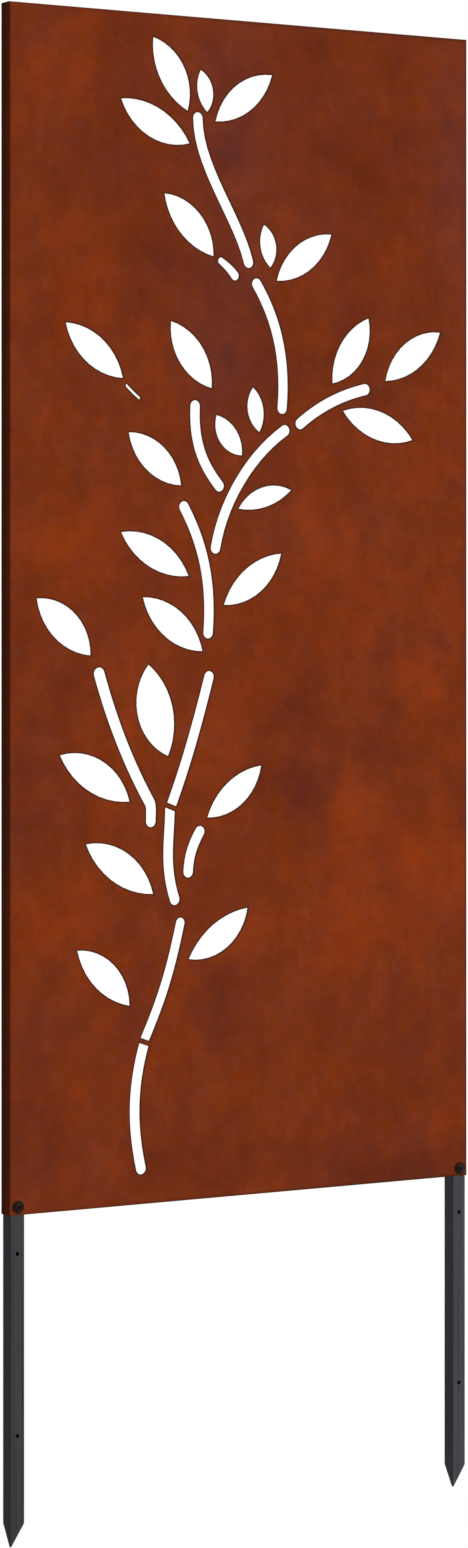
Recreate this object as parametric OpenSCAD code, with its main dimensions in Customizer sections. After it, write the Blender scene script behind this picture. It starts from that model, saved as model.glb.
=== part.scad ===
// Laser cut metal screen. A sheet panel, folded back on all four sides, has a leafy branch cut
// through it. Two square tubes stand inside its bottom corners as stakes, each held by one screw,
// and go into the ground. X runs across the panel from its centre line, Y from the front to the
// back from the middle of the folded sides, and Z up from the panel's bottom edge, which is the
// ground line. All sizes are in millimetres.

/* [Panel] */
// Width of the panel
panel_w = 500; // [400:1:900]
// Height of the panel
panel_h = 1100; // [900:1:1800]
// Depth of the folded sides, front sheet included
return_d = 16; // [12:0.5:40]
// Thickness of the sheet
sheet_t = 1; // [0.6:0.1:2]
// Inside radius of the folds
fold_r = 0.3; // [0.1:0.1:1]
// Open seam between the folded top and the folded sides
corner_seam = 0.6; // [0.2:0.1:2]

/* [Branch] */
// Width of a stem
stem_w = 10.5; // [6:0.5:13]
// How much wider the stoutest stem starts, and how much narrower the slimmest one is
stem_step = 1; // [0:0.25:2]
// Width of the short tapered twig at its thick end
twig_w = 9; // [5:0.5:11]
// Width of the short tapered twig at its thin end
twig_tip_w = 6.5; // [4:0.5:9]
// Width of the thin slit below the upper left leaf
slit_w = 2.5; // [1.5:0.5:5]
// Width of the metal left across a stem
bridge_w = 5; // [2:0.5:8]

/* [Stakes] */
// Width of a stake's square tube
tube_w = 15; // [12:0.5:40]
// Thickness of a tube's walls
tube_t = 1.2; // [0.8:0.1:2]
// Inside radius of a tube's corners
tube_r = 0.3; // [0.1:0.1:1]
// Thickness of the plate that closes a tube's upper end
cap_t = 1.2; // [0.8:0.1:3]
// Gap between a stake and the folded side next to it
stake_gap = 0.1; // [0.05:0.05:2]
// Gap between a stake and the end of the folded bottom
notch_gap = 0.5; // [0.2:0.1:3]
// Length of a stake below the panel
stake_below = 300; // [250:5:600]
// Length of a stake behind the panel
stake_behind = 100; // [40:5:300]
// How far the slanting cut of a stake's point rises across the tube
tip_h = 23; // [8:1:60]
// How far a stake's point is blunted
tip_blunt = 0.5; // [0.2:0.1:2]
// Diameter of a stake's free holes
free_hole_d = 4; // [3:0.5:8]
// Depth of a stake's upper free hole below the panel
upper_hole = 35; // [15:1:80]
// Distance between a stake's two free holes
hole_pitch = 165; // [40:1:180]

/* [Fixings] */
// Diameter of a screw's shank
screw_d = 5; // [3:0.5:6]
// How much wider than the shank the screws' holes are drilled
hole_play = 0.5; // [0.2:0.1:1]
// Height of a screw above the panel's bottom edge
screw_z = 7.5; // [7:0.5:30]
// How far a screw stands out past its nut
screw_past = 4; // [1:0.5:8]
// Diameter of the flange round a screw's head
head_d = 11.8; // [9:0.1:14]
// Thickness of that flange
flange_t = 0.7; // [0.4:0.1:1.2]
// Diameter of the dome on the flange
dome_d = 9.2; // [7:0.1:11]
// Height of a screw's head, flange included
head_h = 2.8; // [2.2:0.1:4]
// Width of the hexagon socket across its flats
socket_w = 3; // [2:0.5:4]
// Depth of the hexagon socket
socket_h = 1.6; // [1:0.1:1.8]
// Diameter of a washer
washer_d = 10; // [8:0.5:12]
// Thickness of a washer
washer_t = 1; // [0.5:0.1:1.6]
// Width of a nut across its flats
nut_w = 8; // [7:0.5:10]
// Height of a nut
nut_h = 4; // [2.5:0.1:6]
// Play between a screw and its nut
thread_play = 0.1; // [0.05:0.05:0.2]
// Bevel on the end of a screw's shank
screw_bevel = 0.5; // [0.2:0.1:0.8]

/* [Hidden] */

$fn = 96;
STEPS = 14;        // straight pieces along the edge of each curve of a stem
END_STEPS = 12;    // straight pieces round a stem's round end
OVER = 1;          // how far a cutting shape runs past what it cuts

RUST = [0.48, 0.19, 0.09];
BLACK = [0.24, 0.23, 0.25];
DARK = [0.13, 0.10, 0.09];

front_y = -return_d / 2;
inside_y = front_y + sheet_t;
inside_x = panel_w / 2 - sheet_t;

stake_x = inside_x - stake_gap;
tube_corner_r = tube_r + tube_t;
notch_w = stake_gap + tube_w + notch_gap;
screw_x = stake_x - tube_w / 2;
hole_d = screw_d + hole_play;
washer_y = inside_y + tube_w;
nut_y = washer_y + washer_t;
screw_l = nut_y + nut_h + screw_past - front_y;

// The slanting cut rises alike along both sides that meet at the stake's front left corner. It
// starts from the ground end at this place along both, past the rounding of that corner.
tip_slope = atan(sqrt(2) * tip_h / tube_w);
tip_start = tube_corner_r * (1 - cos(45)) + tip_blunt * tube_w / tip_h / 2;
tip_reach = 2 * (tip_h + tube_w);

// The branch is drawn on a sheet of this width and height, from its bottom left corner, and is
// scaled as a whole to the panel.
BRANCH_SHEET = [500, 1100];
branch_k = min(panel_w / BRANCH_SHEET.x, panel_h / BRANCH_SHEET.y);

// Each leaf: its tip, its base, and how far its left and right edges swell from the line
// between them, as seen from the base
LEAVES = [
    [[150, 1078], [187, 1012], 12, 16.5],
    [[201, 1051], [208, 1012], 7, 10],
    [[279, 1051], [217, 1004], 14, 13],
    [[116, 1019], [189, 982], 16, 12.5],
    [[162, 934], [215, 878], 12, 16],
    [[270, 910], [277, 870], 7.5, 10],
    [[345, 904], [284, 858], 13.5, 13],
    [[387, 826], [346, 763], 12.5, 16],
    [[169, 816], [213, 755], 14.5, 14],
    [[58, 811], [118, 762], 13.5, 13.5],
    [[469, 815], [406, 767], 15, 12.5],
    [[258, 757], [265, 715], 9.5, 8],
    [[358, 737], [437, 711], 13.5, 13.5],
    [[218, 730], [246, 693], 12, 9],
    [[124, 712], [180, 664], 13.5, 14.5],
    [[300, 661], [242, 643], 11.5, 7],
    [[116, 620], [188, 580], 13, 14],
    [[289, 601], [226, 553], 12, 14.5],
    [[139, 560], [203, 510], 14, 14.5],
    [[28, 559], [84, 507], 13.5, 17],
    [[145, 498], [166, 413], 22.5, 15.5],
    [[52, 416], [125, 372], 13, 17.5],
    [[267, 402], [208, 355], 11, 14.5],
    [[79, 334], [150, 286], 13, 16.5],
    [[252, 269], [188, 224], 10, 16.5],
    [[70, 237], [125, 184], 11.5, 16],
];

// Each stem: the control points of its centre line, its width at the start and at the end, and
// whether each of those ends is round. A centre line is a cubic curve of four points, and each
// further curve adds three.
STEMS = [
    [[[198, 1006], [198, 961], [242, 915], [253, 874]], stem_w, stem_w, true, true],
    [[[262, 854], [281, 826], [295, 790], [290, 738]], stem_w, stem_w, true, true],
    [[[310, 724], [332, 741], [356, 752], [383, 758]], stem_w, stem_w, true, true],
    [[[195, 738], [193, 700], [206, 681], [221, 664]], stem_w, stem_w, true, true],
    [[[293, 717], [255, 693], [225, 649], [217, 606]], stem_w, stem_w, true, true],
    [[[183, 644], [204, 609], [213, 574], [209, 527]], stem_w, stem_w, true, true],
    [[[93, 490], [105, 451], [122, 410], [146, 371], [148.5, 367], [147.5, 361], [147.5, 353]],
        stem_w + stem_step, stem_w, true, true],
    [[[210, 486], [197, 441], [185, 404], [168, 364]], stem_w, stem_w, true, false],
    [[[168, 368], [168, 336], [161, 314], [173, 280]], stem_w, stem_w, false, true],
    [[[200, 342], [191, 328], [188, 317], [187.5, 305]], stem_w, stem_w, true, true],
    [[[179, 258], [168, 212], [159, 188], [140, 150]], stem_w - stem_step, stem_w - stem_step,
        true, false],
    [[[141, 150], [128, 110], [127, 75], [137, 33]], stem_w, stem_w, false, true],
    [[[223, 874], [229, 870], [234, 866], [238, 861]], twig_tip_w, twig_w, true, true],
    [[[122, 755], [126, 751], [131, 747], [135, 744]], slit_w, slit_w, true, true],
];

// Each bridge of metal across a stem: its middle and its slope in degrees
BRIDGES = [
    [[168.5, 366], -21],
    [[140.5, 149.7], -20],
];

// Radius of the circle whose arc swells by a height over a chord
function arc_r(chord, height) = (chord ^ 2 / 4 + height ^ 2) / (2 * height);

// How many cubic curves a centre line has
function curves(p) = (len(p) - 1) / 3;

// Point on a centre line, where s runs from 0 to its number of curves
function line_at(p, s) =
    let (k = 3 * min(floor(s), curves(p) - 1), t = s - k / 3)
    (1 - t) ^ 3 * p[k] + 3 * (1 - t) ^ 2 * t * p[k + 1]
        + 3 * (1 - t) * t ^ 2 * p[k + 2] + t ^ 3 * p[k + 3];

// Unit vector to the left of a centre line
function left_at(p, s) =
    let (
        k = 3 * min(floor(s), curves(p) - 1),
        t = s - k / 3,
        ahead = (1 - t) ^ 2 * (p[k + 1] - p[k]) + 2 * (1 - t) * t * (p[k + 2] - p[k + 1])
            + t ^ 2 * (p[k + 3] - p[k + 2])
    )
    [-ahead.y, ahead.x] / norm(ahead);

// One edge of a stem, on its left side for a side of 1 and on its right side for -1
function stem_edge(p, w0, w1, side) = [
    for (i = [0:STEPS * curves(p)])
        let (s = i / STEPS, w = w0 + (w1 - w0) * s / curves(p))
        branch_k * line_at(p, s) + side * w / 2 * left_at(p, s)
];

// The half circle round an end, whose first point would lie towards left
function round_end(p, left, w) = [
    for (i = [1:END_STEPS - 1])
        let (a = 180 * i / END_STEPS)
        branch_k * p + w / 2 * (cos(a) * left + sin(a) * [left.y, -left.x])
];

function reversed(list) = [for (i = [len(list) - 1:-1:0]) list[i]];

// A leaf is the space that two circles share
module leaf(tip, base, left, right) {
    along = tip - base;
    chord = branch_k * norm(along);
    left_r = arc_r(chord, branch_k * left);
    right_r = arc_r(chord, branch_k * right);
    translate(branch_k * (tip + base) / 2)
        rotate(atan2(along.y, along.x))
            intersection() {
                translate([0, branch_k * left - left_r]) circle(left_r);
                translate([0, right_r - branch_k * right]) circle(right_r);
            }
}

module stem(p, w0, w1, start_round, end_round) {
    last = curves(p);
    polygon(concat(
        stem_edge(p, w0, w1, 1),
        end_round ? round_end(line_at(p, last), left_at(p, last), w1) : [],
        reversed(stem_edge(p, w0, w1, -1)),
        start_round ? round_end(p[0], -left_at(p, 0), w0) : []
    ));
}

// The whole branch, on the sheet that it is drawn on
module branch() {
    for (l = LEAVES) leaf(l[0], l[1], l[2], l[3]);
    difference() {
        union() for (s = STEMS) stem(s[0], s[1], s[2], s[3], s[4]);
        for (b = BRIDGES)
            translate(branch_k * b[0])
                rotate(b[1])
                    square([2 * stem_w, bridge_w], center = true);
    }
}

// A rectangle of width w and depth d, centred across, with both front corners rounded
module fold_section(w, d, r) {
    for (side = [-1, 1])
        translate([side * (w / 2 - r), r]) circle(r);
    translate([r - w / 2, 0]) square([w - 2 * r, d]);
    translate([-w / 2, r]) square([w, d - r]);
}

// A block of width w, height h and depth d, with its four front edges rounded
module tray_block(w, h, d, r) {
    intersection() {
        linear_extrude(h) fold_section(w, d, r);
        translate([-w / 2, 0, h / 2])
            rotate([0, 90, 0])
                linear_extrude(w) fold_section(h, d, r);
    }
}

// The sheet with its four sides folded back, before any cut
module tray() {
    translate([0, front_y, 0])
        difference() {
            tray_block(panel_w, panel_h, return_d, fold_r + sheet_t);
            translate([0, sheet_t, sheet_t])
                tray_block(panel_w - 2 * sheet_t, panel_h - 2 * sheet_t, return_d, fold_r);
        }
}

// The branch as a cutting shape through the front sheet
module branch_cut() {
    translate([
        -branch_k * BRANCH_SHEET.x / 2,
        inside_y + OVER,
        (panel_h - branch_k * BRANCH_SHEET.y) / 2
    ])
        rotate([90, 0, 0])
            linear_extrude(sheet_t + 2 * OVER) branch();
}

// What is cut away at the left bottom corner, where the stake leaves the panel
module stake_notch() {
    translate([-inside_x, inside_y, -OVER])
        cube([notch_w, return_d, OVER + sheet_t + fold_r]);
}

// The open seam at the left end of the folded top
module top_seam() {
    translate([-inside_x, inside_y + fold_r, panel_h - sheet_t - fold_r])
        cube([corner_seam, return_d, sheet_t + fold_r + OVER]);
}

// A round bar along Y, between two depths
module along_y(y0, y1, d) {
    translate([0, y1, 0]) rotate([90, 0, 0]) cylinder(h = y1 - y0, d = d);
}

module screen_panel() {
    color(RUST)
        difference() {
            tray();
            branch_cut();
            for (side = [0, 1])
                mirror([side, 0, 0]) {
                    stake_notch();
                    top_seam();
                    translate([-screw_x, 0, screw_z])
                        along_y(front_y - OVER, inside_y + OVER, hole_d);
                }
        }
}

// A square that starts at the origin, with its four corners rounded
module rounded_square(w, r) {
    for (x = [r, w - r], y = [r, w - r])
        translate([x, y]) circle(r);
    translate([r, 0]) square([w - 2 * r, w]);
    translate([0, r]) square([w, w - 2 * r]);
}

// A stake's tube, closed at its upper end, with its front left corner at the origin
module closed_tube() {
    difference() {
        linear_extrude(stake_below + stake_behind) rounded_square(tube_w, tube_corner_r);
        translate([tube_t, tube_t, -OVER])
            linear_extrude(stake_below + stake_behind - cap_t + OVER)
                rounded_square(tube_w - 2 * tube_t, tube_r);
    }
}

// What the slanting cut takes off the ground end of a stake
module tip_cut() {
    translate([tip_start, tip_start, 0])
        rotate([0, 0, 45])
            rotate([0, -tip_slope, 0])
                translate([-tip_reach, -tip_reach, -tip_reach])
                    cube([2 * tip_reach, 2 * tip_reach, tip_reach]);
}

// One stake, with its front left corner at x
module stake(x) {
    color(BLACK)
        translate([x, inside_y, 0])
            difference() {
                translate([0, 0, -stake_below])
                    difference() {
                        closed_tube();
                        tip_cut();
                    }
                translate([tube_w / 2, 0, screw_z])
                    along_y(-OVER, tube_w + OVER, hole_d);
                for (z = [-upper_hole, -upper_hole - hole_pitch])
                    translate([tube_w / 2, 0, z])
                        along_y(-OVER, tube_w + OVER, free_hole_d);
            }
}

// Puts a piece that is drawn along Z, with its front up, on a screw's axis at depth y
module on_screw(x, y) {
    translate([x, y, screw_z]) rotate([90, 0, 0]) children();
}

// A domed head with a flange, which stands on the sheet
module screw_head() {
    dome_r = arc_r(dome_d, head_h - flange_t);
    cylinder(h = flange_t, d = head_d);
    intersection() {
        cylinder(h = head_h, d = dome_d);
        translate([0, 0, head_h - dome_r]) sphere(dome_r);
    }
}

module screw(x) {
    color(DARK)
        on_screw(x, front_y)
            difference() {
                union() {
                    screw_head();
                    translate([0, 0, screw_bevel - screw_l])
                        cylinder(h = screw_l - screw_bevel + flange_t, d = screw_d);
                    translate([0, 0, -screw_l])
                        cylinder(h = screw_bevel, d1 = screw_d - 2 * screw_bevel, d2 = screw_d);
                }
                translate([0, 0, head_h - socket_h])
                    cylinder(h = socket_h + OVER, d = socket_w / cos(30), $fn = 6);
            }
}

// A washer, whose front is on the rear of the stake
module washer(x) {
    color(DARK)
        on_screw(x, nut_y)
            difference() {
                cylinder(h = washer_t, d = washer_d);
                translate([0, 0, -OVER]) cylinder(h = washer_t + 2 * OVER, d = hole_d);
            }
}

// A nut whose corners are turned down at both faces by cones of 30 degrees
module nut(x) {
    color(DARK)
        on_screw(x, nut_y + nut_h)
            difference() {
                intersection() {
                    cylinder(h = nut_h, d = nut_w / cos(30), $fn = 6);
                    cylinder(h = nut_h, r1 = nut_w / 2, r2 = nut_w / 2 + nut_h / tan(30));
                    cylinder(h = nut_h, r1 = nut_w / 2 + nut_h / tan(30), r2 = nut_w / 2);
                }
                translate([0, 0, -OVER])
                    cylinder(h = nut_h + 2 * OVER, d = screw_d + thread_play);
            }
}

module left_stake() { stake(-stake_x); }
module right_stake() { stake(stake_x - tube_w); }
module left_screw() { screw(-screw_x); }
module right_screw() { screw(screw_x); }
module left_washer() { washer(-screw_x); }
module right_washer() { washer(screw_x); }
module left_nut() { nut(-screw_x); }
module right_nut() { nut(screw_x); }

screen_panel();
left_stake();
right_stake();
left_screw();
right_screw();
left_washer();
right_washer();
left_nut();
right_nut();
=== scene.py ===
"""Garden screen of folded weathering steel on two square tube stakes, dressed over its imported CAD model.

The frame is the CAD model's own: +X runs across the panel to the right, +Y from its front to its back and +Z up, in
metres. The panel's bottom edge is at height 0 and the stakes' points are 300 mm below it, on the studio floor.
"""

import logging
import math
from dataclasses import dataclass
from enum import Enum

import bmesh
import bpy
from mathutils import Matrix, Vector

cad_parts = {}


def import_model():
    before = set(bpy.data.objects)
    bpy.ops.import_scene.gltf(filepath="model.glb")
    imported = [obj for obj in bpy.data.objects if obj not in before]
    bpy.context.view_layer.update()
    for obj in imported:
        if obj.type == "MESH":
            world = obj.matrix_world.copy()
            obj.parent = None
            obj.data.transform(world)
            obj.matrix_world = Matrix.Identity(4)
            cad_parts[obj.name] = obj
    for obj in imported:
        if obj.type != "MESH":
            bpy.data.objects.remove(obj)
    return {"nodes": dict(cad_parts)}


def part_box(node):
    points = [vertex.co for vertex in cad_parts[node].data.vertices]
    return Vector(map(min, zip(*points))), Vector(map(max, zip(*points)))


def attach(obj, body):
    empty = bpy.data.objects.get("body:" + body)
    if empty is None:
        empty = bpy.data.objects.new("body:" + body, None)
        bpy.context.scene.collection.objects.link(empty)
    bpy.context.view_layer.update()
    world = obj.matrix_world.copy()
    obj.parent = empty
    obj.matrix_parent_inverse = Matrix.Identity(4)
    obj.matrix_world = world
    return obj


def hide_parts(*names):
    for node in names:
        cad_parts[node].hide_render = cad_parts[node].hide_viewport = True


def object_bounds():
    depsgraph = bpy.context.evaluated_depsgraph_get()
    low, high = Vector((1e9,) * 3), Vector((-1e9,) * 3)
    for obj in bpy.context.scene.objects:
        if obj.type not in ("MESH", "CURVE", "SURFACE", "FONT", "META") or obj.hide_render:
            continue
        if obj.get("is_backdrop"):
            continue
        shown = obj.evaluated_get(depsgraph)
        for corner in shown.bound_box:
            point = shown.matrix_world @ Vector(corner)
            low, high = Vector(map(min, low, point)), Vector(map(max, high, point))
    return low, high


log = logging.getLogger("garden_screen")

MM = 0.001
BODY = "root"
WHITE = "#FFFFFF"
# Points no further apart than this are one, and so are planes.
SAME_PLACE = 1e-6
MICROMETRES_PER_METRE = 1e6
# A noise runs from 0 to 1 round this middle, and nearly all of it lies within this span.
NOISE_MIDDLE = 0.5
NOISE_SPAN = (0.3, 0.7)


class Side(Enum):
    """The two sides of the screen, as seen from the front."""

    LEFT = "left"
    RIGHT = "right"


class Slot(Enum):
    """The names of the material slots."""

    RUST = "weathered_steel"
    BLACK = "black_coated_steel"
    FIXING = "dark_fixing_steel"


def linear(colour: str) -> tuple[float, float, float, float]:
    """Turns an sRGB hex colour into the linear colour that a shader socket takes.

    Args:
        colour: The colour, as "#RRGGBB".

    Returns:
        Its linear red, green and blue, and an alpha of 1.
    """
    parts = [int(colour[i : i + 2], 16) / 255 for i in (1, 3, 5)]
    return (*[p / 12.92 if p <= 0.04045 else ((p + 0.055) / 1.055) ** 2.4 for p in parts], 1.0)


def add_node(
    tree: bpy.types.NodeTree,
    kind: str,
    inputs: dict[str | int, object] | None = None,
    stops: list[tuple[float, str]] | None = None,
    **settings: object,
) -> bpy.types.Node:
    """Adds a shader node with its settings, values and links.

    Args:
        tree: The node tree that takes the node.
        kind: The node's type name.
        inputs: A value, or an output socket to link from, for each input's name or number.
        stops: The places and sRGB hex colours of a colour ramp.
        settings: The node's own properties.

    Returns:
        The new node.
    """
    node = tree.nodes.new(kind)
    for name, value in settings.items():
        setattr(node, name, value)
    if stops:
        elements = node.color_ramp.elements
        while len(elements) < len(stops):
            elements.new(1.0)
        for element, (place, colour) in zip(elements, stops):
            element.position, element.color = place, linear(colour)
    for name, value in (inputs or {}).items():
        if isinstance(value, bpy.types.NodeSocket):
            tree.links.new(value, node.inputs[name])
        else:
            node.inputs[name].default_value = value
    return node


def new_material(name: str) -> tuple[bpy.types.Material, bpy.types.NodeTree]:
    """Makes an empty node material.

    Args:
        name: The real material's name.

    Returns:
        The material and its node tree.
    """
    material = bpy.data.materials.new(name)
    material.use_nodes = True
    material.node_tree.nodes.clear()
    return material, material.node_tree


def combined(
    tree: bpy.types.NodeTree, operation: str, *values: bpy.types.NodeSocket | float
) -> bpy.types.NodeSocket:
    """Adds a math node, which works on single numbers.

    Args:
        tree: The node tree.
        operation: The node's operation.
        values: The values that it takes, in order.

    Returns:
        The result.
    """
    return add_node(tree, "ShaderNodeMath", dict(enumerate(values)), operation=operation).outputs[0]


def mapped(
    tree: bpy.types.NodeTree,
    value: bpy.types.NodeSocket,
    span: tuple[float, float],
    onto: tuple[float, float] = (0.0, 1.0),
) -> bpy.types.NodeSocket:
    """Maps one range of a value onto another, and stops it at both ends.

    Args:
        tree: The material's nodes.
        value: The value.
        span: The range that it is taken from.
        onto: The range that it is mapped onto.

    Returns:
        The mapped value.
    """
    ends = {"From Min": span[0], "From Max": span[1], "To Min": onto[0], "To Max": onto[1]}
    return add_node(tree, "ShaderNodeMapRange", {"Value": value, **ends}).outputs[0]


def mixed(
    tree: bpy.types.NodeTree,
    share: bpy.types.NodeSocket,
    below: bpy.types.NodeSocket,
    above: bpy.types.NodeSocket | tuple[float, float, float, float],
) -> bpy.types.NodeSocket:
    """Lays one colour over another.

    Args:
        tree: The material's nodes.
        share: How much of the upper colour shows.
        below: The colour so far.
        above: The colour laid over it.

    Returns:
        The mixed colour.
    """
    return add_node(tree, "ShaderNodeMix", {0: share, 6: below, 7: above}, data_type="RGBA").outputs[2]


def noise(
    tree: bpy.types.NodeTree, place: bpy.types.NodeSocket, size_mm: float, detail: float, roughness: float = 0.5
) -> bpy.types.Node:
    """Adds a cloud noise.

    Args:
        tree: The material's nodes.
        place: The coordinates that it reads.
        size_mm: How wide its clouds are.
        detail: How many finer layers it has.
        roughness: How strong those layers are.

    Returns:
        The noise's node, with its value as the first output.
    """
    look = {"Vector": place, "Scale": 1.0 / (size_mm * MM), "Detail": detail, "Roughness": roughness}
    return add_node(tree, "ShaderNodeTexNoise", look)


@dataclass(frozen=True)
class Texture:
    """How rough a surface is at either end of its noise, and how strong and deep its bumps are."""

    rough: tuple[float, float]
    bump_strength: float
    bump_mm: float

    def finish(
        self,
        tree: bpy.types.NodeTree,
        colour: bpy.types.NodeSocket,
        clouds: bpy.types.NodeSocket,
        height: bpy.types.NodeSocket,
        more: dict[str, bpy.types.NodeSocket | float],
    ) -> None:
        """Adds the surface's shader and the material's output.

        Args:
            tree: The material's nodes.
            colour: The surface's colour.
            clouds: The noise that its roughness follows.
            height: The height that its bumps follow.
            more: The shader's further values.
        """
        rough = mapped(tree, clouds, NOISE_SPAN, self.rough)
        drop = {"Height": height, "Strength": self.bump_strength, "Distance": self.bump_mm * MM}
        bump = add_node(tree, "ShaderNodeBump", drop).outputs[0]
        look = {"Base Color": colour, "Roughness": rough, "Normal": bump, **more}
        shader = add_node(tree, "ShaderNodeBsdfPrincipled", look)
        add_node(tree, "ShaderNodeOutputMaterial", {"Surface": shader.outputs[0]})


@dataclass(frozen=True)
class RustPatch:
    """One soft blotch in the rust: its middle from the panel's bottom left corner and its half sizes, in mm.

    The tone is -1 where the rust is darkest and 1 where it is brightest and most orange. The dullness is 1 where the
    rust is as greyed and purplish as it gets.
    """

    x: float
    z: float
    half_w: float
    half_h: float
    tone: float
    dull: float = 0.0


RUST_PATCHES = (
    RustPatch(265, 1010, 420, 260, -0.5),
    RustPatch(245, 985, 90, 170, -0.05, 1.5),
    RustPatch(225, 790, 70, 120, -0.85, 1.5),
    RustPatch(238, 868, 42, 42, -0.4, 0.6),
    RustPatch(170, 868, 40, 40, -0.15),
    RustPatch(70, 950, 90, 44, -0.3),
    RustPatch(485, 970, 50, 190, -0.35, 1.5),
    RustPatch(68, 1045, 56, 56, 0.95, -0.3),
    RustPatch(78, 862, 60, 66, 0.6, -0.4),
    RustPatch(300, 455, 50, 42, -0.55),
    RustPatch(290, 378, 80, 36, -1.1),
    RustPatch(385, 415, 70, 46, -0.6),
    RustPatch(220, 184, 38, 54, -1.2, 0.3),
    RustPatch(400, 8, 130, 56, -1.4),
    RustPatch(420, 90, 60, 60, -0.6),
    RustPatch(14, 385, 46, 60, -0.6, 0.3),
    RustPatch(62, 480, 34, 36, -0.5),
    RustPatch(14, 70, 56, 100, -1.1, 0.4),
    RustPatch(200, 40, 90, 60, -0.5),
    RustPatch(50, 603, 90, 56, 0.95, -0.5),
    RustPatch(130, 490, 50, 60, 0.6),
    RustPatch(213, 425, 50, 50, 0.9),
    RustPatch(445, 482, 46, 40, 1.2),
    RustPatch(377, 362, 40, 42, 0.9),
    RustPatch(435, 318, 125, 56, 0.9),
    RustPatch(372, 232, 56, 76, 0.9, -0.3),
    RustPatch(30, 270, 70, 56, 0.7, -0.4),
    RustPatch(262, 245, 50, 40, 0.5),
    RustPatch(330, 622, 60, 44, 0.6, 0.4),
)


@dataclass(frozen=True)
class CloudLayer:
    """One layer of cloud noise: how wide its clouds are, their finer layers, their height by width and their share."""

    size_mm: float
    detail: float
    high: float = 1.0
    weight: float = 1.0


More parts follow.
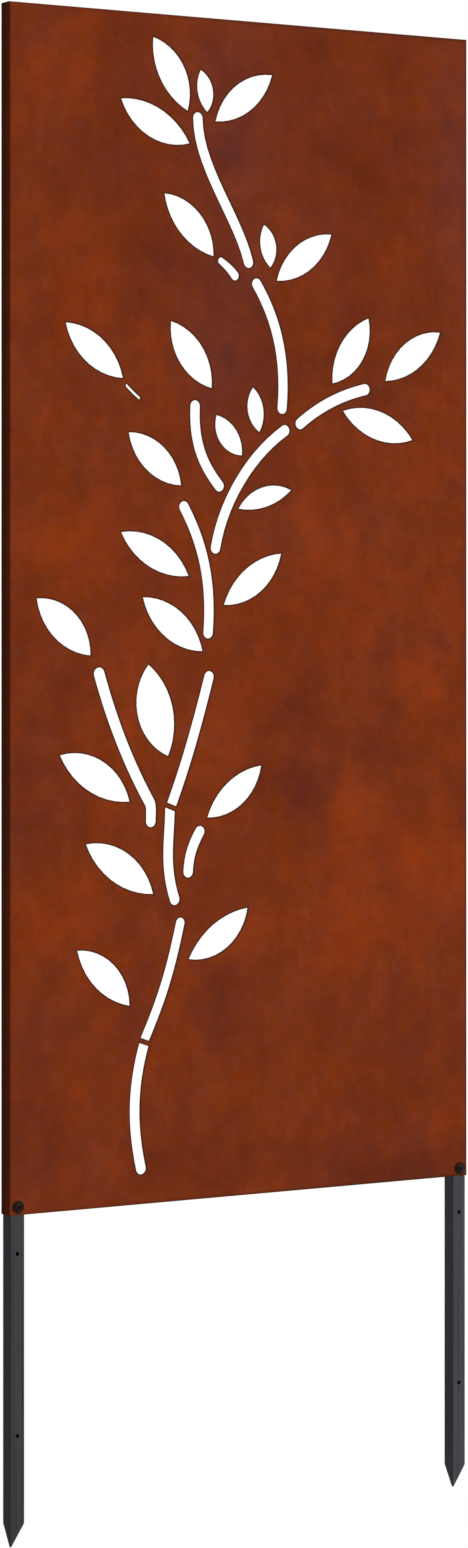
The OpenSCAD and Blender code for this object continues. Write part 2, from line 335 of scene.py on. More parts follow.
@dataclass(frozen=True)
class WeatheringSteelPatina:
    """Weathering steel, laser cut, folded and left to rust.

    The rust is a thin, dense and matt crust of iron oxides. Goethite is the orange-brown one and haematite the
    duller, more purplish one, so the eye sees soft clouds of both with a fine sandy grain. The laser's heat leaves a
    dark band along each cut. The folds are darkened partly by the mill scale that cracks there and partly by painted
    shade along them, with less of it on the left fold, which the lamps already shade.
    """

    name: str = "weathering_steel_rust_patina"
    goethite: tuple[str, ...] = ("#62260D", "#772E0C", "#8D360B")
    haematite: tuple[str, ...] = ("#602A21", "#753420", "#8B3D1F")
    burnt_and_shade: str = "#4E2511"
    tone_span: tuple[float, float] = (-1.2, 1.2)
    dull_span: tuple[float, float] = (-0.5, 1.5)
    tone_layers: tuple[CloudLayer, ...] = (
        CloudLayer(90.0, 2.0, 1.15, 2.0),
        CloudLayer(26.0, 3.0, 1.15, 2.2),
        CloudLayer(8.0, 2.0, 1.2, 0.8),
        CloudLayer(7.0, 2.0, 15.0, 0.3),
    )
    dull_layers: tuple[CloudLayer, ...] = (CloudLayer(60.0, 4.0, 1.2, 2.2), CloudLayer(9.0, 2.0, 1.2, 3.0))
    cloud_roughness: float = 0.55
    # Real rust grain is about 0.3 mm, too fine to show from here, so it is drawn at 1.4 mm.
    grain: CloudLayer = CloudLayer(1.4, 2.0)
    speck_span: tuple[float, float] = (0.58, 0.8)
    speck_share: float = 0.2
    ragged_mm: float = 22.0
    ragged_detail: float = 3.0
    ragged_reach: float = 1.6
    scorch_share: float = 0.85
    # The folds' mark is darker mill scale together with painted shade along them.
    fold_scale_and_shade_share: float = 0.65
    specular: float = 0.05
    texture: Texture = Texture((0.78, 0.95), 0.5, 0.12)
    panel_w: float = 0.5

    def make(self) -> bpy.types.Material:
        """Builds the material.

        Returns:
            The rust patina.
        """
        material, tree = new_material(self.name)
        place = add_node(tree, "ShaderNodeTexCoord").outputs["Object"]
        ragged = self._ragged(tree, place)
        tone = self._blotches(tree, ragged, self._clouds(tree, place, self.tone_layers), "tone")
        dull = self._blotches(tree, ragged, self._clouds(tree, place, self.dull_layers), "dull")
        tone, dull = mapped(tree, tone, self.tone_span), mapped(tree, dull, self.dull_span)
        ramps = [
            add_node(tree, "ShaderNodeValToRGB", {"Fac": tone}, stops=list(zip((0.0, 0.5, 1.0), oxide))).outputs[0]
            for oxide in (self.goethite, self.haematite)
        ]
        rust = mixed(tree, dull, ramps[0], ramps[1])
        grain = self._noise(tree, place, self.grain)
        speck = mapped(tree, grain, self.speck_span, (0.0, self.speck_share))
        rust = mixed(tree, speck, rust, linear(self.goethite[0]))
        # Painted shade along the folds, laid with their darker mill scale.
        rust = self._mark(tree, rust, "fold_scale_and_shade", self.fold_scale_and_shade_share)
        rust = self._mark(tree, rust, "scorch", self.scorch_share)
        crust = combined(tree, "ADD", dull, grain)
        self.texture.finish(tree, rust, grain, crust, {"Specular IOR Level": self.specular})
        return material

    def _noise(
        self, tree: bpy.types.NodeTree, place: bpy.types.NodeSocket, layer: CloudLayer
    ) -> bpy.types.NodeSocket:
        """Adds one layer's noise.

        Args:
            tree: The material's nodes.
            place: The object's own coordinates.
            layer: The layer.

        Returns:
            The noise's value.
        """
        stretch = (1.0, 1.0, 1.0 / layer.high)
        drawn = add_node(tree, "ShaderNodeMapping", {"Vector": place, "Scale": stretch}).outputs[0]
        return noise(tree, drawn, layer.size_mm, layer.detail, self.cloud_roughness).outputs[0]

    def _mark(
        self, tree: bpy.types.NodeTree, rust: bpy.types.NodeSocket, attribute: str, strength: float
    ) -> bpy.types.NodeSocket:
        """Darkens the rust where one of the mesh's own marks says; the folds' mark is partly painted shade.

        Args:
            tree: The material's nodes.
            rust: The colour so far.
            attribute: The mark's name on the mesh.
            strength: How much of it shows where the mark is full.

        Returns:
            The marked colour.
        """
        mark = add_node(tree, "ShaderNodeAttribute", attribute_name=attribute).outputs["Fac"]
        return mixed(tree, combined(tree, "MULTIPLY", mark, strength), rust, linear(self.burnt_and_shade))

    def _clouds(
        self, tree: bpy.types.NodeTree, place: bpy.types.NodeSocket, layers: tuple[CloudLayer, ...]
    ) -> bpy.types.NodeSocket:
        """Adds up layers of clouds.

        Args:
            tree: The material's nodes.
            place: The object's own coordinates.
            layers: The layers.

        Returns:
            Their sum, with its middle at 0.
        """
        total = 0.0
        for layer in layers:
            centred = combined(tree, "SUBTRACT", self._noise(tree, place, layer), NOISE_MIDDLE)
            total = combined(tree, "MULTIPLY_ADD", centred, layer.weight, total)
        return total

    def _ragged(self, tree: bpy.types.NodeTree, place: bpy.types.NodeSocket) -> bpy.types.NodeSocket:
        """Shakes the coordinates, so that the blotches get ragged outlines.

        Args:
            tree: The material's nodes.
            place: The object's own coordinates.

        Returns:
            The shaken coordinates.
        """
        wobble = noise(tree, place, self.ragged_mm, self.ragged_detail).outputs["Color"]
        middle, reach = (NOISE_MIDDLE,) * 3, (self.ragged_mm * self.ragged_reach * MM,) * 3
        centred = add_node(tree, "ShaderNodeVectorMath", {0: wobble, 1: middle}, operation="SUBTRACT").outputs[0]
        shaken = {0: centred, 1: reach, 2: place}
        return add_node(tree, "ShaderNodeVectorMath", shaken, operation="MULTIPLY_ADD").outputs[0]

    def _blotches(
        self, tree: bpy.types.NodeTree, ragged: bpy.types.NodeSocket, value: bpy.types.NodeSocket, quality: str
    ) -> bpy.types.NodeSocket:
        """Adds the blotches to one quality of the rust.

        Args:
            tree: The material's nodes.
            ragged: The shaken coordinates.
            value: The quality so far.
            quality: The patch's field that holds its share, "tone" or "dull".

        Returns:
            The quality, mostly from -1 to 1.
        """
        for patch in RUST_PATCHES:
            strength = getattr(patch, quality)
            if not strength:
                continue
            half_w, half_h = patch.half_w * MM, patch.half_h * MM
            across, up = patch.x * MM - self.panel_w / 2, patch.z * MM
            spread = {"Scale": (1 / half_w, 0.0, 1 / half_h), "Location": (-across / half_w, 0.0, -up / half_h)}
            moved = add_node(tree, "ShaderNodeMapping", {"Vector": ragged, **spread}).outputs[0]
            blotch = add_node(tree, "ShaderNodeTexGradient", {"Vector": moved}, gradient_type="SPHERICAL")
            value = combined(tree, "MULTIPLY_ADD", blotch.outputs["Fac"], strength, value)
        return value


@dataclass(frozen=True)
class BlackPowderCoat:
    """Mild steel square tube under a satin black powder coat.

    The coat is cured on rolled and welded tube, so the eye sees a charcoal black with faint drawn lines along the
    tube, a slight orange peel and a soft sheen.
    """

    name: str = "satin_black_powder_coat"
    black: str = "#2A292D"
    worn: str = "#45454A"
    line_wide_mm: float = 1.6
    line_long_mm: float = 220.0
    line_detail: float = 3.0
    line_roughness: float = 0.6
    # The coat is a little paler on the right stake than on the left one.
    stakes_span: tuple[float, float] = (-0.25, 0.25)
    paler_span: tuple[float, float] = (-0.05, 0.1)
    # Orange peel is about 0.5 mm from crest to crest, drawn here at 1.2 mm so that it shows.
    peel_mm: float = 1.2
    peel_detail: float = 1.0
    specular: float = 0.1
    # Its sheen is turned down on the left stake's outer side, as painted shade that darkens that side.
    outer_side: float = -248.7 * MM
    painted_shade_sheen_drop: float = -0.055
    texture: Texture = Texture((0.42, 0.56), 0.25, 0.05)
    # The powder doesn't reach the tubes' inside, which stays bare below their end plates. It is told by a box round
    # each bore that ends 0.1 mm inside the walls and the plate.
    bare: str = "#A5A29C"
    bore_middle: tuple[float, float] = (241.4 * MM, 0.5 * MM)
    bore_half: float = 6.4 * MM
    bore_top: float = 98.9 * MM

    def make(self) -> bpy.types.Material:
        """Builds the material.

        Returns:
            The powder coat.
        """
        material, tree = new_material(self.name)
        place = add_node(tree, "ShaderNodeTexCoord").outputs["Object"]
        across = add_node(tree, "ShaderNodeSeparateXYZ", {0: place}).outputs[0]
        stretch = (1.0, 1.0, self.line_wide_mm / self.line_long_mm)
        drawn = add_node(tree, "ShaderNodeMapping", {"Vector": place, "Scale": stretch}).outputs[0]
        lines = noise(tree, drawn, self.line_wide_mm, self.line_detail, self.line_roughness).outputs[0]
        worn = combined(tree, "ADD", lines, mapped(tree, across, self.stakes_span, self.paler_span))
        tones = list(zip(NOISE_SPAN, (self.black, self.worn)))
        coat = add_node(tree, "ShaderNodeValToRGB", {"Fac": worn}, stops=tones).outputs["Color"]
        shade = mixed(tree, self._inside(tree, place), coat, linear(self.bare))
        peel = noise(tree, place, self.peel_mm, self.peel_detail).outputs[0]
        # Painted shade: less sheen on the left stake's outer side darkens it.
        shaded_outer_side = combined(tree, "LESS_THAN", across, self.outer_side)
        sheen_with_painted_shade = combined(tree, "MULTIPLY_ADD", shaded_outer_side, self.painted_shade_sheen_drop, self.specular)
        self.texture.finish(tree, shade, lines, peel, {"Specular IOR Level": sheen_with_painted_shade})
        return material

    def _inside(self, tree: bpy.types.NodeTree, place: bpy.types.NodeSocket) -> bpy.types.NodeSocket:
        """Tells the tubes' inside by its distance from their middles.

        Args:
            tree: The material's nodes.
            place: The object's own coordinates.

        Returns:
            1 inside a tube and 0 elsewhere.
        """
        height = add_node(tree, "ShaderNodeSeparateXYZ", {0: place}).outputs[2]
        away, (across, deep) = place, self.bore_middle
        for middle in ((0.0, deep, 0.0), (across, 0.0, 0.0)):
            moved = add_node(tree, "ShaderNodeVectorMath", {0: away, 1: middle}, operation="SUBTRACT").outputs[0]
            away = add_node(tree, "ShaderNodeVectorMath", {0: moved}, operation="ABSOLUTE").outputs[0]
        away_x, away_y, _ = add_node(tree, "ShaderNodeSeparateXYZ", {0: away}).outputs
        within = combined(tree, "LESS_THAN", combined(tree, "MAXIMUM", away_x, away_y), self.bore_half)
        return combined(tree, "MULTIPLY", within, combined(tree, "LESS_THAN", height, self.bore_top))


@dataclass(frozen=True)
class DarkOxideSteel:
    """Steel fasteners with a dark oxide finish.

    The finish is a skin of black magnetite over turned and rolled steel, so the eye sees brown-black metal with a
    dull gleam and a little rust taken up from the panel.
    """

    name: str = "dark_oxide_steel"
    black: str = "#1D1714"
    rusty: str = "#38190E"
    tone_span: tuple[float, float] = (0.45, 0.75)
    cloud_mm: float = 3.0
    cloud_detail: float = 3.0
    grain_mm: float = 0.5
    grain_detail: float = 2.0
    texture: Texture = Texture((0.42, 0.6), 0.3, 0.03)

    def make(self) -> bpy.types.Material:
        """Builds the material.

        Returns:
            The dark oxide finish.
        """
        material, tree = new_material(self.name)
        place = add_node(tree, "ShaderNodeTexCoord").outputs["Object"]
        cloud = noise(tree, place, self.cloud_mm, self.cloud_detail).outputs[0]
        tones = list(zip(self.tone_span, (self.black, self.rusty)))
        shade = add_node(tree, "ShaderNodeValToRGB", {"Fac": cloud}, stops=tones).outputs["Color"]
        grain = noise(tree, place, self.grain_mm, self.grain_detail).outputs[0]
        self.texture.finish(tree, shade, cloud, grain, {"Metallic": 1.0})
        return material


def finish_piece(
    bm: bmesh.types.BMesh, name: str, material: bpy.types.Material, node: str, crease_deg: float = 30.0
) -> bpy.types.Object:
    """Turns a finished mesh into a piece that stands for a CAD node.

    Args:
        bm: The mesh, in its place. It is freed.
        name: The piece's name.
        material: Its material.
        node: The CAD node that it replaces.
        crease_deg: Edges that turn more than this stay sharp.

    Returns:
        The piece.
    """
    for edge in bm.edges:
        edge.smooth = len(edge.link_faces) == 2 and edge.calc_face_angle(math.pi) < math.radians(crease_deg)
    mesh = bpy.data.meshes.new(name)
    bm.to_mesh(mesh)
    bm.free()
    mesh.materials.append(material)
    piece = bpy.data.objects.new(name, mesh)
    bpy.context.scene.collection.objects.link(piece)
    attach(piece, BODY)
    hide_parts(node)
    log.info("%s: %d faces, stands for %s", name, len(mesh.polygons), node)
    return piece


@dataclass
class ScreenPanel:
    """The folded sheet with the branch cut through it."""

    rust: bpy.types.Material
    node: bpy.types.Object
    front_y: float = -8 * MM
    sheet: float = 1 * MM
    back_edge_y: float = 8 * MM
    half_w: float = 250 * MM
    fold_r: float = 0.3 * MM
    # The notches' strips keep their own two upper corners when stray points on the line above them are welded.
    strip_corners: int = 2
    # The marked bands are just narrow enough for a screw's hole and the fold below it to have one each.
    scorch_w: float = 1.2 * MM
    fade_w: float = 0.45 * MM
    # The mill scale on the folded sides is darkened from their rear edge to these depths.
    side_dark_y: float = 0.5 * MM
    side_clean_y: float = -3.5 * MM
    side_share: float = 0.75
    # The left fold takes less of the folds' painted shade, since the lamps already leave it in shade.
    left_fold_shade_share: float = 0.3
    left_fold_w: float = 3 * MM
    # The cuts' own walls have rusted again, so less of the scorch is left on them.
    wall_share: float = 0.3
    # How much of a face's normal points to the front or back when the face is across the sheet, and when it is flat.
    across_y: float = 0.01
    flat_y: float = 0.9999

    def build(self) -> bpy.types.Object:
        """Copies the CAD sheet, merges it and marks its cut edges and folds.

        Returns:
            The panel.
        """
        bm = bmesh.new()
        bm.from_mesh(self.node.data)
        bmesh.ops.remove_doubles(bm, verts=bm.verts[:], dist=SAME_PLACE)
        bmesh.ops.recalc_face_normals(bm, faces=bm.faces[:])
        for depth in (self.side_dark_y, self.side_clean_y):
            self._split(bm, bm.faces[:], (0, depth, 0), (0, 1, 0))
        inside_y, flat_z = self.front_y + self.sheet, self.sheet + self.fold_r
        self._part_strips(bm, inside_y, flat_z)
        cut_places = {self._place(v) for f in bm.faces if self._is_cut_wall(f) for v in f.verts}
        band = {}
        for depth, out in ((self.front_y, -1), (inside_y, 1)):
            level = [f for f in bm.faces if self._lies_at(f, depth)]
            flats = [f for f in level if min(v.co.z for v in f.verts) > flat_z - SAME_PLACE]
            flats = self._refill(bm, flats, out)
            for face in self._inset(bm, flats, self.scorch_w):
                # Bands that touch no cut lie along a fold, and take its mill scale and painted shade.
                mark = "scorch" if any(self._place(v) in cut_places for v in face.verts) else "fold_scale_and_shade"
                band.update({self._place(v): mark for v in face.verts})
            flats = self._refill(bm, flats, out)
            self._inset(bm, flats, self.fade_w)
            self._refill(bm, flats, out)
        self._mark(bm, band)
        return finish_piece(bm, "rusted_screen_panel", self.rust, "screen_panel")

    def _split(
        self,
        bm: bmesh.types.BMesh,
        faces: list[bmesh.types.BMFace],
        place: tuple[float, float, float],
        normal: tuple[float, float, float],
    ) -> None:
        """Splits faces along a plane.

        Args:
            bm: The panel's mesh.
            faces: The faces.
            place: A point on the plane.
            normal: The plane's normal.
        """
        parts = dict.fromkeys(part for face in faces for part in (*face.verts, *face.edges, face))
        bmesh.ops.bisect_plane(bm, geom=list(parts), dist=SAME_PLACE, plane_co=place, plane_no=normal)

    def _part_strips(self, bm: bmesh.types.BMesh, y: float, z: float) -> None:
        """Parts the strips before the stakes' notches from the rear flat, whose lower edge is then one line.

        Args:
            bm: The panel's mesh.
            y: The flat's depth.
            z: The height where the lower fold ends and the flat starts.
        """
        self._split(bm, [f for f in bm.faces if self._lies_at(f, y)], (0, 0, z), (0, 0, 1))
        line = [v for v in bm.verts if abs(v.co.z - z) < SAME_PLACE and abs(v.co.y - y) < SAME_PLACE]
        rows = [sorted((v for v in line if v.co.x * side > 0), key=lambda v: abs(v.co.x)) for side in (-1, 1)]
        strays = {v: row[0] for row in rows for v in row[1 : -self.strip_corners]}
        bmesh.ops.weld_verts(bm, targetmap=strays)

    def _inset(
        self, bm: bmesh.types.BMesh, flats: list[bmesh.types.BMFace], width: float
    ) -> list[bmesh.types.BMFace]:
        """Draws a band of that width along every edge of a flat.

        Args:
            bm: The panel's mesh.
            flats: The flat's faces, which shrink.
            width: The band's width.

        Returns:
            The band's faces.
        """
        drawn = bmesh.ops.inset_region(bm, faces=flats, thickness=width, use_boundary=True, use_even_offset=True)
        return drawn["faces"]

    def _refill(
        self, bm: bmesh.types.BMesh, flats: list[bmesh.types.BMFace], out: int
    ) -> list[bmesh.types.BMFace]:
        """Fills a flat's middle anew, because its thin triangles can turn over when they shrink.

        Args:
            bm: The panel's mesh.
            flats: The faces that are left out.
            out: 1 where the flat faces the back and -1 where it faces the front.

        Returns:
            The new faces.
        """
        old = set(flats)
        rim = [e for e in bm.edges if len(old.intersection(e.link_faces)) == 1]
        bmesh.ops.delete(bm, geom=flats, context="FACES_KEEP_BOUNDARY")
        filled = bmesh.ops.triangle_fill(bm, edges=rim, use_beauty=True, normal=(0, out, 0))["geom"]
        return [f for f in filled if isinstance(f, bmesh.types.BMFace)]

    def _is_flat(self, face: bmesh.types.BMFace) -> bool:
        """Tells whether a face lies on the front or the back of the front sheet."""
        return self._lies_at(face, self.front_y) or self._lies_at(face, self.front_y + self.sheet)

    def _lies_at(self, face: bmesh.types.BMFace, y: float) -> bool:
        """Tells whether a face lies in the plane at that depth."""
        return all(abs(v.co.y - y) < SAME_PLACE for v in face.verts)

    def _is_cut_wall(self, face: bmesh.types.BMFace) -> bool:
        """Tells whether a face is the wall of a laser cut, across the front sheet's thickness.

        Args:
            face: The face.

        Returns:
            Whether it is.
        """
        depths = [v.co.y for v in face.verts]
        in_sheet = min(depths) > self.front_y - SAME_PLACE and max(depths) < self.front_y + self.sheet + SAME_PLACE
        return in_sheet and max(depths) - min(depths) > self.sheet / 2 and abs(face.normal.y) < self.across_y

    def _place(self, point: bmesh.types.BMVert) -> tuple[int, int, int]:
        """Gives a point's place in whole micrometres, by which it is known after the inset."""
        return tuple(round(c * MICROMETRES_PER_METRE) for c in point.co)

    def _mark(self, bm: bmesh.types.BMesh, band: dict[tuple[int, int, int], str]) -> None:
        """Writes the scorch and the folds' scale and painted shade on faces' corners, and smooths the curved faces.

        Args:
            bm: The panel's mesh, with its flats inset twice.
            band: The mark of each point that lies on the band along a cut or a fold, by its place.
        """
        layers = {name: bm.loops.layers.float.new(name) for name in ("scorch", "fold_scale_and_shade")}
        for face in bm.faces:
            level = self._is_flat(face)
            is_wall, on_edge = self._is_cut_wall(face), self._lies_at(face, self.back_edge_y)
            turned = self.across_y < abs(face.normal.y) < self.flat_y
            face.smooth = turned or is_wall or on_edge
            for loop in face.loops:
                mark = band.get(self._place(loop.vert)) if level else None
                if is_wall:
                    loop[layers["scorch"]] = self.wall_share
                elif on_edge or mark == "scorch":
                    loop[layers["scorch"]] = 1.0
                # Folds take their mill scale and painted shade, with less on the left fold, which the lamps already
                # shade.
                elif turned or mark == "fold_scale_and_shade":
                    on_left = loop.vert.co.x < self.left_fold_w - self.half_w
                    loop[layers["fold_scale_and_shade"]] = self.left_fold_shade_share if on_left else 1.0
                elif not level and loop.vert.co.y > self.side_dark_y - SAME_PLACE:
                    loop[layers["scorch"]] = self.side_share


@dataclass
class TubeStake:
    """One square tube stake: the CAD node under its coat, with its edges eased."""

    coat: bpy.types.Material
    node: bpy.types.Object
    eased: float = 0.2 * MM
    eased_steps: int = 2
    crease_deg: float = 30.0

    def dress(self) -> bpy.types.Object:
        """Gives the CAD stake its coat and eased edges.

        Returns:
            The stake.
        """
        for held in self.node.material_slots:
            held.material = self.coat
        weld = self.node.modifiers.new("merge_corners", "WELD")
        weld.merge_threshold = SAME_PLACE
        ease = self.node.modifiers.new("eased_edges", "BEVEL")
        ease.width = self.eased
        ease.segments = self.eased_steps
        ease.limit_method = "ANGLE"
        ease.angle_limit = math.radians(self.crease_deg)
        ease.harden_normals = True
        log.info("%s: coated, with its edges eased", self.node.name)
        return self.node


@dataclass
class CornerFixing:
    """The screw, washer and nut that hold one stake in its corner of the panel."""

    oxide: bpy.types.Material
    side: Side
    steps: int = 48
    head_d: float = 11.8 * MM
    flange_t: float = 0.7 * MM
    flange_round: float = 0.1 * MM
    dome_d: float = 9.2 * MM
    dome_steps: int = 10
    head_h: float = 2.8 * MM
    socket_w: float = 3 * MM
    socket_h: float = 1.6 * MM
    socket_lip: float = 0.1 * MM
    # The dome ends this far outside the socket's corners.
    socket_rim: float = 0.15 * MM
    shank_d: float = 5 * MM
    shank_l: float = 25 * MM
    shank_flare: float = 0.2 * MM
    pitch: float = 0.8 * MM
    thread_h: float = 0.48 * MM
    # The thread's ridge is this far to either side of its middle, as shares of the pitch, at its foot and its crest.
    foot_share: float = 0.44
    crest_share: float = 0.08
    thread_sunk: float = 0.05 * MM
    thread_steps: int = 32
    # The thread stops this far under the head.
    thread_stop: float = 0.9 * MM
    end_bevel: float = 0.5 * MM
    washer_d: float = 10 * MM
    washer_bore: float = 5.5 * MM
    washer_round: float = 0.15 * MM
    nut_w: float = 8 * MM
    nut_play: float = 0.1 * MM
    nut_sink: float = 0.25 * MM
    nut_bevel_deg: float = 30.0
    # The nut's flat ends are this share of its width across the flats.
    nut_flat_share: float = 0.96
    nut_crease_deg: float = 20.0

    def build(self) -> list[bpy.types.Object]:
        """Builds the three pieces.

        Returns:
            The screw, the washer and the nut.
        """
        return [self._screw(), self._washer(), self._nut()]

    def _set_on(self, bm: bmesh.types.BMesh, node: str) -> None:
        """Turns a piece built along +Z so that its top faces the front, and sets its axis on its CAD node's.

        Args:
            bm: The mesh, whose height 0 is the node's rearmost plane.
            node: The CAD node.
        """
        low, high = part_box(node)
        middle = (low + high) / 2
        bmesh.ops.rotate(bm, verts=bm.verts[:], cent=(0, 0, 0), matrix=Matrix.Rotation(math.pi / 2, 3, "X"))
        bmesh.ops.translate(bm, verts=bm.verts[:], vec=(middle.x, high.y, middle.z))

    def _depth(self, node: str) -> float:
        """Gives a CAD node's length along the screw's axis."""
        low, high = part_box(node)
        return high.y - low.y

    def _lathe(self, bm: bmesh.types.BMesh, outline: list[tuple[float, float]], closed: bool) -> None:
        """Turns an outline of radius and height round the axis.

        Args:
            bm: The mesh that takes it.
            outline: Radius and height of each point, from the bottom up.
            closed: Whether the last point joins the first.
        """
        points = [bm.verts.new((r, 0, z)) for r, z in outline]
        pairs = list(zip(points, points[1:])) + ([(points[-1], points[0])] if closed else [])
        edges = [bm.edges.new(pair) for pair in pairs]
        self._spin(bm, points + edges, self.steps, 2 * math.pi, rise=0, merge=True)
        bmesh.ops.remove_doubles(bm, verts=bm.verts[:], dist=SAME_PLACE)

    def _spin(
        self,
        bm: bmesh.types.BMesh,
        parts: list[bmesh.types.BMVert | bmesh.types.BMEdge | bmesh.types.BMFace],
        steps: int,
        angle: float,
        rise: float,
        merge: bool,
    ) -> None:
        """Turns parts of a mesh round the axis, and draws the surface that they sweep.

        Args:
            bm: The mesh.
            parts: The parts.
            steps: How many steps they are turned in.
            angle: How far they are turned in all.
            rise: How far they move up the axis in each step.
            merge: Whether the last step joins the first.
        """
        bmesh.ops.spin(
            bm,
            geom=parts,
            cent=(0, 0, 0),
            axis=(0, 0, 1),
            dvec=(0, 0, rise),
            angle=angle,
            steps=steps,
            use_merge=merge,
            use_duplicate=False,
        )

    def _ring(
        self, bm: bmesh.types.BMesh, radius: float, z: float, sides: int | None = None
    ) -> list[bmesh.types.BMEdge]:
        """Draws a circle, or a polygon with as many points as a circle has.

        Args:
            bm: The mesh that takes it.
            radius: Its radius, to the corners.
            z: Its height.
            sides: How many sides a polygon has.

        Returns:
            Its edges.
        """
        before = set(bm.edges)
        place = Matrix.Translation((0, 0, z))
        bmesh.ops.create_circle(bm, cap_ends=False, segments=sides or self.steps, radius=radius, matrix=place)
        if sides:
            whole = [e for e in bm.edges if e not in before]
            bmesh.ops.subdivide_edges(bm, edges=whole, cuts=self.steps // sides - 1)
        return [e for e in bm.edges if e not in before]

    def _hexagon(self, bm: bmesh.types.BMesh, flats: float, z: float) -> list[bmesh.types.BMEdge]:
        """Draws a hexagon of that width across the flats, and gives its edges."""
        return self._ring(bm, flats / math.sqrt(3), z, sides=6)

    def _dome(self, top: float) -> list[tuple[float, float]]:
        """Draws the dome's outline.

        Args:
            top: The height where the full dome would end.

        Returns:
            Radius and height of each point, from the flange to the socket's rim.
        """
        rise = self.head_h - self.flange_t
        dome_r = (rise**2 + (self.dome_d / 2) ** 2) / (2 * rise)
        start = math.asin(self.dome_d / 2 / dome_r)
        end = math.asin((self.socket_w / math.sqrt(3) + self.socket_rim) / dome_r)
        turns = [start + (end - start) * i / self.dome_steps for i in range(self.dome_steps + 1)]
        return [(dome_r * math.sin(turn), top - dome_r + dome_r * math.cos(turn)) for turn in turns]

    def _screw(self) -> bpy.types.Object:
        """Builds the domed and flanged screw with its hexagon socket and rolled thread.

        Returns:
            The screw.
        """
        node = f"{self.side.value}_screw"
        under, soft = self.shank_l, self.flange_round
        top, core = under + self.flange_t, self.shank_d / 2 - self.thread_h
        shank_r, flange_r, dome_foot = self.shank_d / 2, self.head_d / 2, self.dome_d / 2 + 2 * soft
        outline = [(0.0, 0.0), (core - self.end_bevel / 2, 0.0), (core, self.end_bevel)]
        outline += [(core, under - self.shank_flare), (shank_r, under), (flange_r - soft, under)]
        outline += [(flange_r, under + soft), (flange_r, top - 2 * soft), (flange_r - 2 * soft, top)]
        outline += [(dome_foot, top), *self._dome(under + self.head_h)]
        bm = bmesh.new()
        self._lathe(bm, outline, closed=False)
        rim = [e for e in bm.edges if e.is_boundary]
        mouth = self._hexagon(bm, self.socket_w, outline[-1][1] - self.socket_lip)
        bmesh.ops.bridge_loops(bm, edges=rim + mouth)
        walls = bmesh.ops.extrude_edge_only(bm, edges=[e for e in mouth if e.is_boundary])["geom"]
        floor = [v for v in walls if isinstance(v, bmesh.types.BMVert)]
        bmesh.ops.translate(bm, verts=floor, vec=(0, 0, -self.socket_h + self.socket_lip))
        bmesh.ops.edgeloop_fill(bm, edges=[e for e in walls if isinstance(e, bmesh.types.BMEdge)])
        self._thread(bm, core, self.end_bevel, under - self.thread_stop)
        bmesh.ops.recalc_face_normals(bm, faces=bm.faces[:])
        for face in bm.faces:
            face.smooth = True
        self._set_on(bm, node)
        return finish_piece(bm, f"{self.side.value}_domed_screw", self.oxide, node)

    def _thread(self, bm: bmesh.types.BMesh, core: float, start: float, stop: float) -> None:
        """Winds the thread's ridge round the core as one closed strip.

        Args:
            bm: The screw's mesh.
            core: The core's radius.
            start: The height where the thread starts.
            stop: The height where it ends.
        """
        sunk, crest = core - self.thread_sunk, self.shank_d / 2
        foot_w, crest_w = self.foot_share * self.pitch, self.crest_share * self.pitch
        outline = ((sunk, -foot_w), (crest, -crest_w), (crest, crest_w), (sunk, foot_w))
        points = [bm.verts.new((r, 0, start + self.pitch / 2 + z)) for r, z in outline]
        ridge = bm.faces.new(points)
        turns = (stop - start - self.pitch) / self.pitch
        steps = round(turns * self.thread_steps)
        parts = [*points, *ridge.edges, ridge]
        self._spin(bm, parts, steps, 2 * math.pi * turns, rise=self.pitch * turns / steps, merge=False)

    def _washer(self) -> bpy.types.Object:
        """Builds the flat washer with its stamped, rounded edges.

        Returns:
            The washer.
        """
        node = f"{self.side.value}_washer"
        thick, soft = self._depth(node), self.washer_round
        inner, outer = self.washer_bore / 2, self.washer_d / 2
        bm = bmesh.new()
        outline = [(inner + soft, 0), (outer - soft, 0), (outer, soft), (outer, thick - soft / 2)]
        outline += [(outer - soft / 2, thick), (inner + soft / 2, thick), (inner, thick - soft / 2), (inner, soft)]
        self._lathe(bm, outline, closed=True)
        bmesh.ops.recalc_face_normals(bm, faces=bm.faces[:])
        self._set_on(bm, node)
        return finish_piece(bm, f"{self.side.value}_flat_washer", self.oxide, node)

    def _nut(self) -> bpy.types.Object:
        """Builds the hexagon nut with its chamfered corners and countersunk bore.

        Returns:
            The nut.
        """
        node = f"{self.side.value}_nut"
        thick, bore = self._depth(node), self.shank_d / 2 + self.nut_play / 2
        flat_r, sink = self.nut_w / 2 * self.nut_flat_share, self.nut_sink
        bm = bmesh.new()
        loops = [
            self._ring(bm, bore, sink),
            self._ring(bm, bore + sink, 0.0),
            self._ring(bm, flat_r, 0.0),
            self._hexagon(bm, self.nut_w, 0.0),
            self._hexagon(bm, self.nut_w, thick),
            self._ring(bm, flat_r, thick),
            self._ring(bm, bore + sink, thick),
            self._ring(bm, bore, thick - sink),
        ]
        fall = math.tan(math.radians(self.nut_bevel_deg))
        for loop, way in ((loops[3], 1), (loops[4], -1)):
            for point in {v for e in loop for v in e.verts}:
                point.co.z += way * fall * max(0.0, point.co.xy.length - flat_r)
        for lower, upper in zip(loops, loops[1:] + loops[:1]):
            bmesh.ops.bridge_loops(bm, edges=lower + upper)
        bmesh.ops.recalc_face_normals(bm, faces=bm.faces[:])
        for face in bm.faces:
            face.smooth = True
        self._set_on(bm, node)
        name = f"{self.side.value}_hexagon_nut"
        return finish_piece(bm, name, self.oxide, node, self.nut_crease_deg)


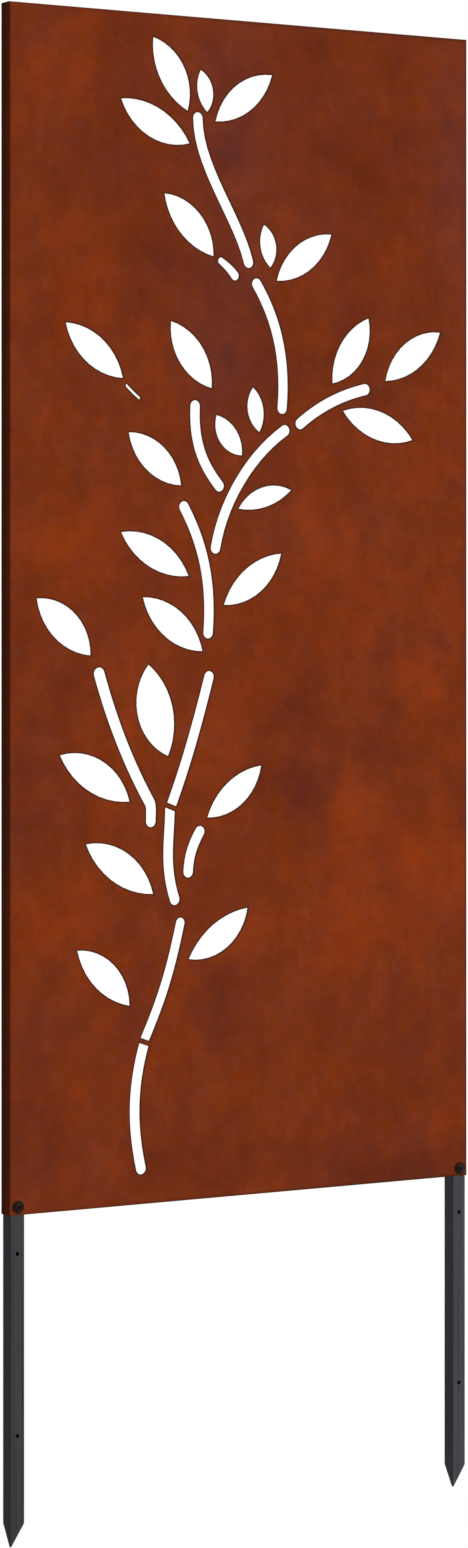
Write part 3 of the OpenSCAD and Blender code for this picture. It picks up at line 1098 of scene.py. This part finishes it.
@dataclass(frozen=True)
class SoftLamp:
    """A broad, even studio light, far away, at that azimuth and height round the object."""

    name: str
    azimuth_deg: float
    elevation_deg: float
    level: float
    spread_deg: float
    away: float = 4.0

    def make(self) -> None:
        """Adds the lamp, whose level is the share of its own colour that a surface facing it shows."""
        data = bpy.data.lights.new(self.name, "SUN")
        data.energy = self.level * math.pi
        data.angle = math.radians(self.spread_deg)
        lamp = bpy.data.objects.new(self.name, data)
        a, e = math.radians(self.azimuth_deg), math.radians(self.elevation_deg)
        towards = Vector((math.sin(a) * math.cos(e), -math.cos(a) * math.cos(e), math.sin(e)))
        lamp.location = towards * self.away
        lamp.rotation_mode = "QUATERNION"
        lamp.rotation_quaternion = towards.to_track_quat("Z", "Y")
        bpy.context.scene.collection.objects.link(lamp)


@dataclass(frozen=True)
class Studio:
    """The plain white studio: camera, lamps, white surround and pale floor."""

    lamps: tuple[SoftLamp, ...] = (
        SoftLamp("key_lamp", 28.0, 24.0, 0.95, 28.0),
        SoftLamp("rear_lamp", 152.0, 30.0, 0.5, 28.0),
    )
    surround: float = 0.09
    floor_pale: str = "#BCBCBC"
    floor_glow: float = 1.125
    floor_glow_share: float = 0.85
    floor_half: float = 30.0
    camera_at: tuple[float, float, float] = (-1.9586, -3.2498, 0.5653)
    camera_along: tuple[float, float, float] = (0.5146, 0.8575, 0.0)
    lens_mm: float = 94.02
    sensor_mm: float = 36.0
    shift_y: float = -0.1178
    clip: tuple[float, float] = (0.05, 200.0)

    def build(self, floor_z: float) -> None:
        """Sets the studio up.

        Args:
            floor_z: The height that the object stands on.
        """
        scene = bpy.context.scene
        scene.view_settings.view_transform = "Standard"
        for lamp in self.lamps:
            lamp.make()
        self._camera(scene)
        self._surround(scene)
        self._floor(floor_z)
        log.info("studio: %d lamps, floor at %.3f m", len(self.lamps), floor_z)

    def _camera(self, scene: bpy.types.Scene) -> None:
        """Sets the camera up in front of the screen, to its left.

        Args:
            scene: The scene that takes it.
        """
        data = bpy.data.cameras.new("studio_camera")
        data.lens, data.sensor_width, data.sensor_fit = self.lens_mm, self.sensor_mm, "AUTO"
        data.shift_y = self.shift_y
        data.clip_start, data.clip_end = self.clip
        camera = bpy.data.objects.new("studio_camera", data)
        camera.location = self.camera_at
        camera.rotation_mode = "QUATERNION"
        camera.rotation_quaternion = Vector(self.camera_along).to_track_quat("-Z", "Y")
        scene.collection.objects.link(camera)
        scene.camera = camera

    def _seen(self, tree: bpy.types.NodeTree) -> bpy.types.NodeSocket:
        """Adds the share, 1 or 0, of rays that see the background rather than take light from it.

        Args:
            tree: The node tree of the floor or the world.

        Returns:
            The share.
        """
        path = add_node(tree, "ShaderNodeLightPath").outputs
        both = combined(tree, "MAXIMUM", path["Is Camera Ray"], path["Is Glossy Ray"])
        return combined(tree, "MAXIMUM", both, path["Is Transmission Ray"])

    def _surround(self, scene: bpy.types.Scene) -> None:
        """Makes the world white to the eye and a low even light to the object.

        Args:
            scene: The scene that takes it.
        """
        world = bpy.data.worlds.new("white_surround")
        world.use_nodes = True
        tree = world.node_tree
        tree.nodes.clear()
        light = add_node(tree, "ShaderNodeBackground", {"Color": linear(WHITE), "Strength": self.surround})
        white = add_node(tree, "ShaderNodeBackground", {"Color": linear(WHITE), "Strength": 1.0})
        both = add_node(tree, "ShaderNodeMixShader", {0: self._seen(tree), 1: light.outputs[0], 2: white.outputs[0]})
        add_node(tree, "ShaderNodeOutputWorld", {"Surface": both.outputs[0]})
        scene.world = world

    def _floor(self, floor_z: float) -> None:
        """Lays the pale floor, which looks white and keeps a faint shadow.

        Args:
            floor_z: Its height.
        """
        bm = bmesh.new()
        place = Matrix.Translation((0, 0, floor_z))
        bmesh.ops.create_grid(bm, x_segments=1, y_segments=1, size=self.floor_half, matrix=place)
        mesh = bpy.data.meshes.new("studio_floor")
        bm.to_mesh(mesh)
        bm.free()
        material, tree = new_material("pale_studio_floor")
        paint = add_node(tree, "ShaderNodeBsdfDiffuse", {"Color": linear(self.floor_pale)})
        glow = add_node(tree, "ShaderNodeEmission", {"Color": linear(WHITE), "Strength": self.floor_glow})
        share = combined(tree, "MULTIPLY", self._seen(tree), self.floor_glow_share)
        both = add_node(tree, "ShaderNodeMixShader", {0: share, 1: paint.outputs[0], 2: glow.outputs[0]})
        add_node(tree, "ShaderNodeOutputMaterial", {"Surface": both.outputs[0]})
        mesh.materials.append(material)
        floor = bpy.data.objects.new("studio_floor", mesh)
        bpy.context.scene.collection.objects.link(floor)
        floor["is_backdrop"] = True


def main() -> None:
    """Builds the studio and every piece."""
    logging.basicConfig(level=logging.INFO, format="%(name)s: %(message)s")
    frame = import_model()
    cad_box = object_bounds()
    nodes = frame["nodes"]
    Studio().build(floor_z=cad_box[0].z)
    rust, coat, oxide = WeatheringSteelPatina().make(), BlackPowderCoat().make(), DarkOxideSteel().make()
    pieces = [ScreenPanel(rust, nodes["screen_panel"]).build()]
    for side in Side:
        pieces.append(TubeStake(coat, nodes[f"{side.value}_stake"]).dress())
        pieces += CornerFixing(oxide, side).build()
    log.info("%d pieces in all", len(pieces))


if __name__ == "__main__":
    main()
